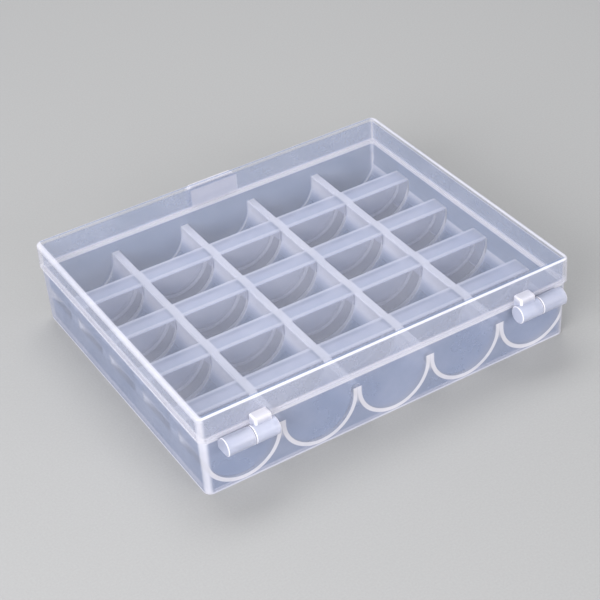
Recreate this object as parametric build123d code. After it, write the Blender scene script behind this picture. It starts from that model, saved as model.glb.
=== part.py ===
from build123d import *
import os

# Translucent moulded box for sewing-machine bobbins: a base with 25 half-round cells in
# five rows, and a hinged lid with a snap clasp.
# Frame: mm, +X along the long sides, -Y the hinge side, +Y the clasp side, +Z up.
# z = 0 is the resting rim, and x = y = 0 is the middle of the whole object's footprint.

# Overall
LID_LENGTH = 122.0
LID_WIDTH = 100.8
TOTAL_HEIGHT = 27.0
PARTING_HEIGHT = 18.8
PARTING_GAP = 0.1
CORNER_RADIUS = 2.2

# Base skirt
BASE_TOP_INSET = 0.5
BASE_BOTTOM_INSET = 0.75
INNER_LENGTH = 118.4
INNER_WIDTH = 97.3
INNER_CORNER = 1.0

# Bobbin cells
COLUMNS = 5
ROWS = 5
COLUMN_PITCH = 24.2
ROW_PITCH = 20.7
CELL_RADIUS = 10.8
CELL_CENTRE_HEIGHT = 12.8
CELL_TOP = 14.5
BAR_WIDTH = 7.4
TROUGH_THICKNESS = 1.3
END_WALL = 1.2
BAR_TOP_THICKNESS = 1.2
RIDGE_BOTTOM = 9.6
CELL_EDGE_SLOPE = 0.4

# Lid
LID_TOP_INSET = 0.1
LID_WALL = 1.1
LID_TOP_THICKNESS = 1.1
LID_EDGE_ROUND = 0.8

# Hinges, the same distance each side of the middle
HINGE_AXIS_OUT = 3.5
HINGE_AXIS_HEIGHT = 17.7
BARREL_RADIUS = 2.65
BARREL_EDGE_ROUND = 0.3
KNUCKLE_SPAN = (39.7, 47.1)
BARREL_SPAN = (47.3, 55.6)
BORE_RADIUS = 1.35
PIN_RADIUS = 1.3
PIN_LENGTH = 6.7
BARREL_END_WALL = 1.2
STRAP_WIDTH = 5.3
STRAP_PROUD = 3.2
STRAP_TOP = 22.3
STRAP_SIDE_ROUND = 0.8
STRAP_EDGE_ROUND = 0.6
WEB_TOP = 18.4
WEB_BOTTOM = 15.3

# Clasp
CLASP_WIDTH = 17.0
CLASP_THICKNESS = 2.0
CLASP_TOP = 25.4
CLASP_CORNER = 1.8
TONGUE_WIDTH = 11.8
TONGUE_BOTTOM = 16.2
TONGUE_THICKNESS = 1.2
LIP_HEIGHT = 0.8
TONGUE_EDGE_ROUND = 0.3
BEAD_WIDTH = 11.0
BEAD_HEIGHT = 17.8
BEAD_RADIUS = 0.7
BEAD_CLEARANCE = 0.05

# How far a piece is drawn into its neighbour before the neighbour's shape is cut away
OVERLAP = 1.0

# The footprint runs from the barrels to the clasp, so the box sits off its middle in Y.
LID_HALF_WIDTH = LID_WIDTH / 2
BASE_HALF_WIDTH = LID_HALF_WIDTH - BASE_TOP_INSET
HINGE_AXIS_Y = -(BASE_HALF_WIDTH + HINGE_AXIS_OUT)
HINGE_REACH = BARREL_RADIUS - HINGE_AXIS_Y
CLASP_REACH = LID_HALF_WIDTH + CLASP_THICKNESS
BOX_SHIFT = (HINGE_REACH - CLASP_REACH) / 2


def upright_box(x_range, y_range, z_range):
    """A box between two values along each axis."""
    ranges = (x_range, y_range, z_range)
    middle = [(low + high) / 2 for low, high in ranges]
    size = [high - low for low, high in ranges]
    return Pos(*middle) * Box(*size)


def drafted_block(bottom_inset, top_inset, z_bottom, z_top):
    """A rounded block, inset from the lid's outline by one value below and one above."""
    sections = []
    for inset, z in ((bottom_inset, z_bottom), (top_inset, z_top)):
        outline = RectangleRounded(LID_LENGTH - 2 * inset, LID_WIDTH - 2 * inset, CORNER_RADIUS)
        sections.append(Pos(0, 0, z) * outline)
    return loft(sections, ruled=True)


def base_block():
    """The base's outer shape, filled solid."""
    return drafted_block(BASE_BOTTOM_INSET, BASE_TOP_INSET, 0, PARTING_HEIGHT)


def lid_block():
    """The lid's outer shape, filled solid."""
    return drafted_block(0, LID_TOP_INSET, PARTING_HEIGHT + PARTING_GAP, TOTAL_HEIGHT)


def trough(radius, y_range):
    """A half-round trough along Y, with upright sides from its middle up to the cell top."""
    tube = Rot(90, 0, 0) * Cylinder(radius, y_range[1] - y_range[0])
    tube = Pos(0, sum(y_range) / 2, CELL_CENTRE_HEIGHT) * tube
    sides = upright_box((-radius, radius), y_range, (CELL_CENTRE_HEIGHT, CELL_TOP))
    above = upright_box((-radius, radius), y_range, (CELL_TOP, CELL_TOP + radius))
    return tube + sides - above


def rectangle_between(x_range, y_range, z):
    """A level rectangle between two values along X and along Y."""
    centre = Pos(sum(x_range) / 2, sum(y_range) / 2, z)
    return centre * Rectangle(x_range[1] - x_range[0], y_range[1] - y_range[0])


def cell_spans():
    """Each cell's two ends in x and in y; the outer rows reach the skirt."""
    half_length = (ROW_PITCH - BAR_WIDTH) / 2
    for row in range(ROWS):
        centre = (row - (ROWS - 1) / 2) * ROW_PITCH
        y_low = -INNER_WIDTH / 2 if row == 0 else centre - half_length
        y_high = INNER_WIDTH / 2 if row == ROWS - 1 else centre + half_length
        for column in range(COLUMNS):
            x = (column - (COLUMNS - 1) / 2) * COLUMN_PITCH
            yield (x - CELL_RADIUS, x + CELL_RADIUS), (y_low, y_high)


def flare(x_range, y_range):
    """The sloped edge around a cell's mouth, upright where the cell meets the skirt."""
    walls = ((-INNER_LENGTH / 2, INNER_LENGTH / 2), (-INNER_WIDTH / 2, INNER_WIDTH / 2))
    wide = []
    for (low, high), (wall_low, wall_high) in zip((x_range, y_range), walls):
        wide.append((max(low - CELL_EDGE_SLOPE, wall_low), min(high + CELL_EDGE_SLOPE, wall_high)))
    bottom = rectangle_between(x_range, y_range, CELL_TOP - CELL_EDGE_SLOPE)
    return loft([bottom, rectangle_between(*wide, CELL_TOP)], ruled=True)


def ridges():
    """The solid ribs between neighbouring columns of cells."""
    half = COLUMN_PITCH / 2 - CELL_RADIUS
    ribs = []
    for column in range(COLUMNS - 1):
        x = (column - (COLUMNS - 2) / 2) * COLUMN_PITCH
        y_range = (-INNER_WIDTH / 2, INNER_WIDTH / 2)
        ribs.append(upright_box((x - half, x + half), y_range, (RIDGE_BOTTOM, CELL_TOP)))
    return ribs


def base_tray():
    """The lower moulding: skirt, thin half-round cells, ridges, and bars hollow underneath."""
    inside = RectangleRounded(INNER_LENGTH, INNER_WIDTH, INNER_CORNER)
    skirt = base_block() - extrude(inside, PARTING_HEIGHT)

    shells = []
    cells = []
    for x_range, y_range in cell_spans():
        place = Pos(sum(x_range) / 2, 0, 0)
        shell_range = (y_range[0] - END_WALL, y_range[1] + END_WALL)
        shells.append(place * trough(CELL_RADIUS + TROUGH_THICKNESS, shell_range))
        cells += [place * trough(CELL_RADIUS, y_range), flare(x_range, y_range)]
    bars = upright_box(
        (-INNER_LENGTH / 2, INNER_LENGTH / 2),
        (-INNER_WIDTH / 2, INNER_WIDTH / 2),
        (CELL_TOP - BAR_TOP_THICKNESS, CELL_TOP),
    )
    lattice = bars.fuse(*shells, *ridges()) & base_block()
    return skirt.fuse(lattice).cut(*cells)


def lid_shell():
    """The upper moulding: a shallow cap that rests on the base's rim."""
    outer = lid_block()
    outer = fillet(outer.edges().group_by(Axis.Z)[-1], LID_EDGE_ROUND)
    wall = LID_TOP_INSET + LID_WALL
    inside = RectangleRounded(
        LID_LENGTH - 2 * wall, LID_WIDTH - 2 * wall, CORNER_RADIUS - LID_WALL
    )
    return outer - extrude(inside, TOTAL_HEIGHT - LID_TOP_THICKNESS)


def along_hinge(radius, x_low, x_high):
    """A round bar on the hinge axis."""
    bar = Rot(0, 90, 0) * Cylinder(radius, x_high - x_low)
    return Pos((x_low + x_high) / 2, HINGE_AXIS_Y, HINGE_AXIS_HEIGHT) * bar


def rounded_barrel(span):
    """A solid barrel on the hinge axis with softened ends."""
    barrel = along_hinge(BARREL_RADIUS, *span)
    return fillet(barrel.edges().filter_by(GeomType.CIRCLE), BARREL_EDGE_ROUND)


def base_hinge_barrel():
    """The right base barrel: outboard, on a web from the skirt, its bore open inboard."""
    web = upright_box(BARREL_SPAN, (HINGE_AXIS_Y, OVERLAP - BASE_HALF_WIDTH), (WEB_BOTTOM, WEB_TOP))
    barrel = rounded_barrel(BARREL_SPAN) + (web - base_block())
    return barrel - along_hinge(BORE_RADIUS, BARREL_SPAN[0], BARREL_SPAN[1] - BARREL_END_WALL)


def lid_knuckle():
    """The right lid knuckle: a solid inboard barrel on a strap down the lid wall."""
    middle = sum(KNUCKLE_SPAN) / 2
    strap = upright_box(
        (middle - STRAP_WIDTH / 2, middle + STRAP_WIDTH / 2),
        (-LID_HALF_WIDTH - STRAP_PROUD, OVERLAP - LID_HALF_WIDTH),
        (HINGE_AXIS_HEIGHT, STRAP_TOP),
    )
    strap = fillet(strap.edges().filter_by(Axis.Z).group_by(Axis.Y)[0], STRAP_SIDE_ROUND)
    top = strap.edges().group_by(Axis.Z)[-1]
    strap = fillet(top.sort_by(Axis.Y)[:-1], STRAP_EDGE_ROUND)
    lid_bottom = PARTING_HEIGHT + PARTING_GAP
    below_lid = upright_box(
        KNUCKLE_SPAN, (-LID_HALF_WIDTH, OVERLAP - LID_HALF_WIDTH), (0, lid_bottom)
    )
    return rounded_barrel(KNUCKLE_SPAN) + (strap - lid_block() - below_lid)


def hinge_pin():
    """The right pivot stub: it stands on the knuckle's end and turns in the barrel's bore."""
    return along_hinge(PIN_RADIUS, KNUCKLE_SPAN[1], KNUCKLE_SPAN[1] + PIN_LENGTH)


def catch_bead():
    """The rounded bead on the base's far wall that the clasp's lip goes under."""
    bead = Rot(0, 90, 0) * Cylinder(BEAD_RADIUS, BEAD_WIDTH)
    return Pos(0, BASE_HALF_WIDTH, BEAD_HEIGHT) * bead - base_block()


def clasp_tab():
    """The clasp: a plate against the lid's far wall, and a tongue with a lip over the base."""
    back = LID_HALF_WIDTH + CLASP_THICKNESS
    lid_bottom = PARTING_HEIGHT + PARTING_GAP
    outline = Pos(0, back, lid_bottom) * Rot(90, 0, 0) * RectangleRounded(
        CLASP_WIDTH, 2 * (CLASP_TOP - lid_bottom), CLASP_CORNER
    )
    plate = extrude(outline, CLASP_THICKNESS + OVERLAP, dir=(0, -1, 0))
    plate -= upright_box((-CLASP_WIDTH, CLASP_WIDTH), (0, 2 * back), (0, lid_bottom))

    half_tongue = TONGUE_WIDTH / 2
    tongue = upright_box(
        (-half_tongue, half_tongue), (back - TONGUE_THICKNESS, back), (TONGUE_BOTTOM, lid_bottom)
    )
    bead_crest = BASE_HALF_WIDTH + BEAD_RADIUS
    lip = upright_box(
        (-half_tongue, half_tongue),
        (bead_crest + BEAD_CLEARANCE, back),
        (TONGUE_BOTTOM, TONGUE_BOTTOM + LIP_HEIGHT),
    )
    hook = tongue + lip
    hook = fillet(hook.edges().filter_by(Axis.X).group_by(Axis.Z)[0], TONGUE_EDGE_ROUND)
    return (plate - lid_block()) + hook


def write_nodes():
    """Write every node in place, with the left-hand hinge pieces mirrored from the right."""
    nodes = {
        "base_tray": base_tray(),
        "catch_bead": catch_bead(),
        "lid_shell": lid_shell(),
        "clasp_tab": clasp_tab(),
    }
    hinge_pieces = {
        "base_hinge_barrel": base_hinge_barrel(),
        "lid_knuckle": lid_knuckle(),
        "hinge_pin": hinge_pin(),
    }
    for name, piece in hinge_pieces.items():
        nodes[name + "_right"] = piece
        nodes[name + "_left"] = mirror(piece, Plane.YZ)

    os.makedirs("parts", exist_ok=True)
    for name, piece in nodes.items():
        export_step(Pos(0, BOX_SHIFT, 0) * piece, f"parts/{name}.step")


write_nodes()
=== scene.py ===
import math

import bpy
from mathutils import Matrix, Vector


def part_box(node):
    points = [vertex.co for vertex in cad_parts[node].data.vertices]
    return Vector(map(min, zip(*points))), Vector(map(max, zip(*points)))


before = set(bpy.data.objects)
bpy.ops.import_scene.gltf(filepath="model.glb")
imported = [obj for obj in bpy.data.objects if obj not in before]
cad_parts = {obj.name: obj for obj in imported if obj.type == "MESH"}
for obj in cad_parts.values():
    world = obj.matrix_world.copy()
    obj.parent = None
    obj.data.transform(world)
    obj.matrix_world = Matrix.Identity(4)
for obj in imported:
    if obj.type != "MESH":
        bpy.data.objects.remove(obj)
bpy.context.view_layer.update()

# Metres unless a name says otherwise. The box is symmetric about x = 0 and y = MIDDLE_Y.
MM = 0.001
LID_LOW, LID_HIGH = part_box("lid_shell")
BASE_LOW, BASE_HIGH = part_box("base_tray")
_, CLASP_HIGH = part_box("clasp_tab")
MIDDLE_Y = (BASE_LOW.y + BASE_HIGH.y) / 2
COLUMN_PITCH = 24.2 * MM
ROW_PITCH = 20.7 * MM
CELL_RADIUS = 10.8 * MM
CELL_CENTRE_HEIGHT = 12.8 * MM
CELL_TOP = 14.5 * MM
CELL_HALF_LENGTH = 6.65 * MM
CELL_SHELL = 1.3 * MM

# Milky polypropylene, each colour with its place on one ramp. The dark slate at the low end is
# painted shade, for the shaded inner faces and cell floors; above it the plastic runs from thin
# to thick, and the white at the top end also serves the painted highlights on edges.
SHADE_SLATE = (0.14, 0.20, 0.33)
GREY_BLUE = (0.41, 0.445, 0.585)
CREAM = (0.78, 0.75, 0.79)
WHITE = (0.90, 0.91, 0.97)
MILKINESS_AND_PAINTED_LIGHT = ((0.0, SHADE_SLATE), (0.42, GREY_BLUE), (0.85, CREAM), (1.0, WHITE))


class Shader:
    """One node material. Its methods take sockets or plain numbers and give a socket."""

    def __init__(self, name):
        self.material = bpy.data.materials.new(name)
        self.material.use_nodes = True
        self.tree = self.material.node_tree
        self.tree.nodes.clear()
        self.place = self.add("ShaderNodeTexCoord", {}, "Object")
        self.facing = self.place.node.outputs["Normal"]

    def add(self, kind, inputs, out=0, **settings):
        node = self.tree.nodes.new(kind)
        for key, value in settings.items():
            setattr(node, key, value)
        for key, value in inputs.items():
            if isinstance(value, bpy.types.NodeSocket):
                self.tree.links.new(value, node.inputs[key])
            else:
                node.inputs[key].default_value = value
        return node.outputs[out]

    def math(self, operation, *values):
        return self.add("ShaderNodeMath", dict(enumerate(values)), operation=operation)

    def size(self, value):
        return self.math("ABSOLUTE", value)

    def minus(self, first, second):
        return self.math("SUBTRACT", first, second)

    def most(self, *values):
        result = values[0]
        for value in values[1:]:
            result = self.math("MAXIMUM", result, value)
        return result

    def all(self, *values):
        result = values[0]
        for value in values[1:]:
            result = self.math("MULTIPLY", result, value)
        return result

    def step(self, value, low, high):
        """0 below low, 1 above high and smooth between; high < low turns it round."""
        inputs = {"Value": value, "From Min": low, "From Max": high}
        return self.add("ShaderNodeMapRange", inputs, interpolation_type="SMOOTHSTEP")

    def over(self, under, mask, target):
        """under where mask is 0, and target where it is 1."""
        return self.add("ShaderNodeMapRange", {"Value": mask, "To Min": under, "To Max": target})

    def split(self, vector):
        return self.add("ShaderNodeSeparateXYZ", {0: vector}).node.outputs

    def folded(self, value, pitch):
        """The distance from the nearest multiple of pitch."""
        return self.size(self.math("WRAP", value, pitch / 2, -pitch / 2))

    def noise(self, size, detail=2.0):
        """Noise from 0 to 1 whose features are about size across."""
        inputs = {"Vector": self.place, "Scale": 1 / size, "Detail": detail}
        return self.add("ShaderNodeTexNoise", inputs)

    def ramp(self, value, *stops):
        """Colour by value, through (position, colour) stops."""
        node = self.add("ShaderNodeValToRGB", {0: value}).node
        elements = node.color_ramp.elements
        while len(elements) < len(stops):
            elements.new(0.5)
        for element, (position, colour) in zip(elements, stops):
            element.position = position
            element.color = (*colour, 1)
        return node.outputs[0]

    def finish(self, **inputs):
        named = {key.replace("_", " "): value for key, value in inputs.items()}
        surface = self.add("ShaderNodeBsdfPrincipled", named)
        output = self.tree.nodes.new("ShaderNodeOutputMaterial")
        self.tree.links.new(surface, output.inputs["Surface"])
        return self.material


def inward(s, low, high):
    """How far a point is inside a box's upright sides: from the x sides and from the y sides."""
    x, y, _ = s.split(s.place)
    off_middle = s.size(s.minus(y, (low.y + high.y) / 2))
    return s.minus(high.x, s.size(x)), s.minus((high.y - low.y) / 2, off_middle)


def painted(s, start, *layers):
    """start, with each (mask, target) laid over it in turn."""
    value = start
    for mask, target in layers:
        value = s.over(value, mask, target)
    return value


def lid_look(s):
    """How milk-white and how opaque the lid is: its panels little, its edges and rim much, with
    painted shade on the inner faces of its walls and a painted highlight along its top edges.
    """
    x, y, z = s.split(s.place)
    from_side, from_end = inward(s, LID_LOW, LID_HIGH)
    behind_clasp = s.all(
        s.step(s.size(x), CLASP_HIGH.x, CLASP_HIGH.x - 0.5 * MM),
        s.step(z, CLASP_HIGH.z, CLASP_HIGH.z - 0.5 * MM),
        s.step(y, LID_HIGH.y - 2.0 * MM, LID_HIGH.y - 1.5 * MM),
    )
    wall = s.most(s.step(from_side, 1.5 * MM, 1.2 * MM), s.step(from_end, 1.5 * MM, 1.2 * MM))
    nearest = s.math("MINIMUM", from_side, from_end)
    # Painted shade: the inner faces of the lid's walls are painted dark slate and more opaque.
    inner = s.all(wall, s.step(nearest, 0.5 * MM, 0.9 * MM))
    # The bands on the side top edges stand for the wall's thickness seen from above, partly
    # painted highlight; the narrow bands on the end top edges are a painted highlight.
    side_edge = s.all(
        s.step(from_side, 1.9 * MM, 1.2 * MM),
        s.step(z, LID_HIGH.z - 1.6 * MM, LID_HIGH.z - 0.9 * MM),
    )
    end_edge_highlight = s.all(
        s.step(from_end, 0.9 * MM, 0.6 * MM),
        s.step(z, LID_HIGH.z - 0.55 * MM, LID_HIGH.z - 0.3 * MM),
    )
    rim = s.step(z, LID_LOW.z + 1.0 * MM, LID_LOW.z + 0.3 * MM)
    corner = s.all(s.step(from_side, 2.2 * MM, 0.9 * MM), s.step(from_end, 2.2 * MM, 0.9 * MM))
    milkiness_and_painted_light = painted(
        s, 0.50, (wall, 0.66), (inner, 0.08), (behind_clasp, 0.60), (rim, 0.70), (corner, 0.78),
        (side_edge, 0.72), (end_edge_highlight, 0.90),
    )
    opaque = painted(
        s, 0.10, (wall, 0.34), (inner, 0.55), (behind_clasp, 0.45), (rim, 0.50), (corner, 0.55),
        (side_edge, 0.60), (end_edge_highlight, 0.66),
    )
    return milkiness_and_painted_light, opaque


def base_look(s):
    """How milk-white and how opaque the base is. The cells' round floors and the outer walls'
    inner faces carry painted shade, the upright end walls are painted lighter as painted light,
    and it is whitest where the plastic is thick or seen end on."""
    x, y, z = s.split(s.place)
    facing_y = s.size(s.split(s.facing)[1])
    from_side, from_end = inward(s, BASE_LOW, BASE_HIGH)
    across = s.folded(x, COLUMN_PITCH)
    along = s.folded(s.minus(y, MIDDLE_Y), ROW_PITCH)
    below = s.math("MINIMUM", s.minus(z, CELL_CENTRE_HEIGHT), 0.0)
    radius = s.math("SQRT", s.math("ADD", s.all(across, across), s.all(below, below)))

    skirt = s.most(s.step(from_side, 1.7 * MM, 1.5 * MM), s.step(from_end, 1.7 * MM, 1.5 * MM))
    inside = s.minus(1.0, skirt)
    nearest = s.math("MINIMUM", from_side, from_end)
    # Painted shade: the inner faces of the outer walls are painted dark slate and more opaque.
    skirt_inner = s.all(skirt, s.step(nearest, 0.5 * MM, 0.9 * MM))
    under_top = s.step(z, CELL_TOP - 0.05 * MM, CELL_TOP - 0.25 * MM)
    top = s.all(inside, s.minus(1.0, under_top))
    upright = s.step(facing_y, 0.6, 0.8)
    # Painted light: the upright end walls are painted lighter and more see-through than the bar
    # tops.
    panel = s.all(inside, upright)
    # Painted shade: the cells' round floors are painted dark slate at the bottom and lighter
    # towards the ridges.
    round_wall = s.all(inside, under_top, s.step(facing_y, 0.5, 0.3))
    towards_ridge = s.step(z, 5.0 * MM, 11.8 * MM)
    shell_outside = CELL_RADIUS + CELL_SHELL
    ring = s.all(
        s.step(radius, CELL_RADIUS - 0.1 * MM, CELL_RADIUS + 0.15 * MM),
        s.step(radius, shell_outside + 0.1 * MM, shell_outside - 0.15 * MM),
        upright, under_top,
    )
    joint = s.all(
        round_wall, s.step(along, CELL_HALF_LENGTH - 0.75 * MM, CELL_HALF_LENGTH - 0.25 * MM)
    )
    over_hollow = s.step(along, 7.6 * MM, 8.4 * MM)
    bar_edge = s.all(top, s.minus(1.0, over_hollow))
    ridge = s.all(inside, s.step(across, 10.3 * MM, 11.2 * MM), s.step(z, 9.6 * MM, 10.4 * MM))
    ridge_end = s.all(
        s.step(from_end, 1.7 * MM, 1.5 * MM), s.step(across, 10.2 * MM, 11.4 * MM),
        s.step(z, 8.0 * MM, 10.5 * MM), under_top,
    )
    rim = s.step(z, BASE_HIGH.z - 1.2 * MM, BASE_HIGH.z - 0.7 * MM)
    foot = s.all(skirt, s.step(z, 0.8 * MM, 0.4 * MM))
    corner = s.all(s.step(from_side, 2.6 * MM, 1.2 * MM), s.step(from_end, 2.6 * MM, 1.2 * MM))

    milkiness_and_painted_light = painted(
        s, 0.42, (skirt, 0.44), (skirt_inner, 0.04),
        (round_wall, s.over(0.05, towards_ridge, 0.66)), (joint, 0.50),
        (panel, 0.60), (top, 0.44), (bar_edge, 0.56), (s.most(ridge, ridge_end), 0.65),
        (ring, s.over(0.95, skirt, 0.82)),
        (foot, 0.66), (rim, 0.80), (corner, 0.72),
    )
    opaque = painted(
        s, 0.45, (skirt, 0.40), (skirt_inner, 0.60),
        (round_wall, s.over(0.42, towards_ridge, 0.75)),
        (panel, 0.27), (bar_edge, 0.60), (ridge, 0.70), (ridge_end, 0.55),
        (ring, s.over(0.85, skirt, 0.68)),
        (s.most(rim, foot), 0.70), (corner, 0.60),
    )
    return milkiness_and_painted_light, opaque


def thick_look(milkiness_and_painted_light, opaque):
    """The look of a thick piece: a painted highlight at its upright rounded edges, and whiter
    high on the lid.
    """

    def look(s):
        facing_x = s.size(s.split(s.facing)[0])
        z = s.split(s.place)[2]
        # Painted highlight: the rounded edges, where the normal leans partly along x, are
        # painted whiter and more opaque.
        edge = s.all(s.step(facing_x, 0.15, 0.35), s.step(facing_x, 0.98, 0.90))
        high = s.step(z, 20.5 * MM, 21.8 * MM)
        whiter = painted(s, milkiness_and_painted_light, (high, 0.80), (edge, 0.88))
        return whiter, painted(s, opaque, (edge, 0.80))

    return look


def plastic(name, look, rough=0.3):
    """Moulded polypropylene: colour and opacity from look, faint clouds where the plastic
    flowed, a fine satin grain and slightly uneven gloss."""
    s = Shader(name)
    milkiness_and_painted_light, opaque = look(s)
    cloud_strength, mottle_strength = 0.16, 0.03
    clouds = s.all(s.minus(s.noise(14 * MM, detail=3.0), 0.5), cloud_strength)
    mottle = s.all(s.minus(s.noise(1.5 * MM), 0.5), mottle_strength)
    uneven = s.math("ADD", clouds, mottle)
    colour = s.ramp(s.math("ADD", milkiness_and_painted_light, uneven), *MILKINESS_AND_PAINTED_LIGHT)
    waves = s.add(
        "ShaderNodeBump",
        {"Strength": 0.06, "Distance": 0.2 * MM, "Height": s.noise(9 * MM, detail=1.0)},
    )
    grain = s.add(
        "ShaderNodeBump",
        {"Strength": 0.1, "Distance": 0.003 * MM, "Height": s.noise(0.8 * MM), "Normal": waves},
    )
    return s.finish(
        Base_Color=colour,
        Roughness=s.over(rough - 0.05, s.noise(5 * MM), rough + 0.07),
        IOR=1.49,
        Alpha=s.math("ADD", opaque, s.all(uneven, 0.5)),
        Normal=grain,
    )


def dress(node, material, edge):
    """Gives a CAD node its material and small rounded edges."""
    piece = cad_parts[node]
    piece.data.materials.clear()
    piece.data.materials.append(material)
    weld = piece.modifiers.new("weld", "WELD")
    weld.merge_threshold = 1e-6
    bevel = piece.modifiers.new("rounded_edges", "BEVEL")
    bevel.width = edge
    bevel.segments = 2
    bevel.limit_method = "ANGLE"
    bevel.angle_limit = math.radians(38)
    bevel.use_clamp_overlap = True
    bevel.harden_normals = True


def make_floor():
    half, drop = 3.0, 0.02 * MM
    mesh = bpy.data.meshes.new("floor")
    corners = [(-half, -half, 0), (half, -half, 0), (half, half, 0), (-half, half, 0)]
    mesh.from_pydata(corners, [], [(0, 1, 2, 3)])
    floor = bpy.data.objects.new("floor", mesh)
    bpy.context.scene.collection.objects.link(floor)
    floor.location.z = -drop
    s = Shader("floor_paper")
    darker, paler = (0.315, 0.31, 0.305), (0.335, 0.33, 0.325)
    colour = s.ramp(s.noise(0.6 * MM), (0.3, darker), (0.7, paler))
    mesh.materials.append(s.finish(Base_Color=colour, Roughness=0.8))


def make_light(name, place, size, power, colour):
    lamp = bpy.data.lights.new(name, "AREA")
    lamp.shape = "RECTANGLE"
    lamp.size, lamp.size_y = size
    lamp.energy = power
    lamp.color = colour
    light = bpy.data.objects.new(name, lamp)
    bpy.context.scene.collection.objects.link(light)
    light.location = place
    aim = Vector((0, 0, 0.01)) - light.location
    light.rotation_euler = aim.to_track_quat("-Z", "Y").to_euler()


def make_world():
    world = bpy.data.worlds.new("studio")
    world.use_nodes = True
    background = world.node_tree.nodes["Background"]
    background.inputs["Color"].default_value = (0.94, 0.96, 1.0, 1)
    background.inputs["Strength"].default_value = 0.60
    bpy.context.scene.world = world


def make_camera():
    azimuth, elevation, roll = (math.radians(a) for a in (-29.393, 36.018, -4.241))
    distance = 480.894 * MM
    target = Vector((0, MIDDLE_Y, 13.43 * MM))
    focal_pixels, centre_x, centre_y, image = 1622.964, 298.62, 287.08, 600
    back = Vector(
        (
            math.sin(azimuth) * math.cos(elevation),
            -math.cos(azimuth) * math.cos(elevation),
            math.sin(elevation),
        )
    )
    right = Vector((math.cos(azimuth), math.sin(azimuth), 0))
    up = back.cross(right)
    rolled_right = right * math.cos(roll) + up * math.sin(roll)
    rolled_up = up * math.cos(roll) - right * math.sin(roll)
    ahead = -back * focal_pixels
    ahead += rolled_right * (image / 2 - centre_x) - rolled_up * (image / 2 - centre_y)
    back_axis = -ahead.normalized()
    right_axis = rolled_up.cross(back_axis).normalized()
    up_axis = back_axis.cross(right_axis)
    data = bpy.data.cameras.new("camera")
    data.sensor_width = 36
    data.lens = 36 * focal_pixels / image
    data.clip_start = 0.01
    camera = bpy.data.objects.new("camera", data)
    bpy.context.scene.collection.objects.link(camera)
    axes = Matrix((right_axis, up_axis, back_axis)).transposed()
    camera.matrix_world = Matrix.Translation(target + back * distance) @ axes.to_4x4()
    bpy.context.scene.camera = camera


lid_plastic = plastic("lid_plastic", lid_look, rough=0.25)
base_plastic = plastic("base_plastic", base_look, rough=0.33)
thick_plastic = plastic("thick_plastic", thick_look(milkiness_and_painted_light=0.54, opaque=0.62))
barrel_plastic = plastic("barrel_plastic", thick_look(milkiness_and_painted_light=0.55, opaque=0.50))

dress("lid_shell", lid_plastic, 0.15 * MM)
dress("base_tray", base_plastic, 0.12 * MM)
dress("catch_bead", base_plastic, 0.05 * MM)
dress("clasp_tab", thick_plastic, 0.12 * MM)
for side in ("left", "right"):
    dress("lid_knuckle_" + side, thick_plastic, 0.12 * MM)
    dress("hinge_pin_" + side, thick_plastic, 0.08 * MM)
    dress("base_hinge_barrel_" + side, barrel_plastic, 0.12 * MM)

make_floor()
make_world()
for name, place, size, power, colour in (
    ("left_softbox", (-0.62, -0.30, 0.38), (0.55, 0.40), 7.2, (0.97, 0.98, 1.0)),
    ("top_softbox", (0.10, 0.35, 0.75), (0.60, 0.40), 4.2, (0.96, 0.98, 1.0)),
    ("front_softbox", (0.15, -0.90, 0.28), (0.80, 0.45), 5.0, (0.97, 0.98, 1.0)),
):
    make_light(name, place, size, power, colour)
make_camera()
bpy.context.scene.view_settings.view_transform = "Standard"
bpy.context.scene.cycles.transparent_max_bounces = 32
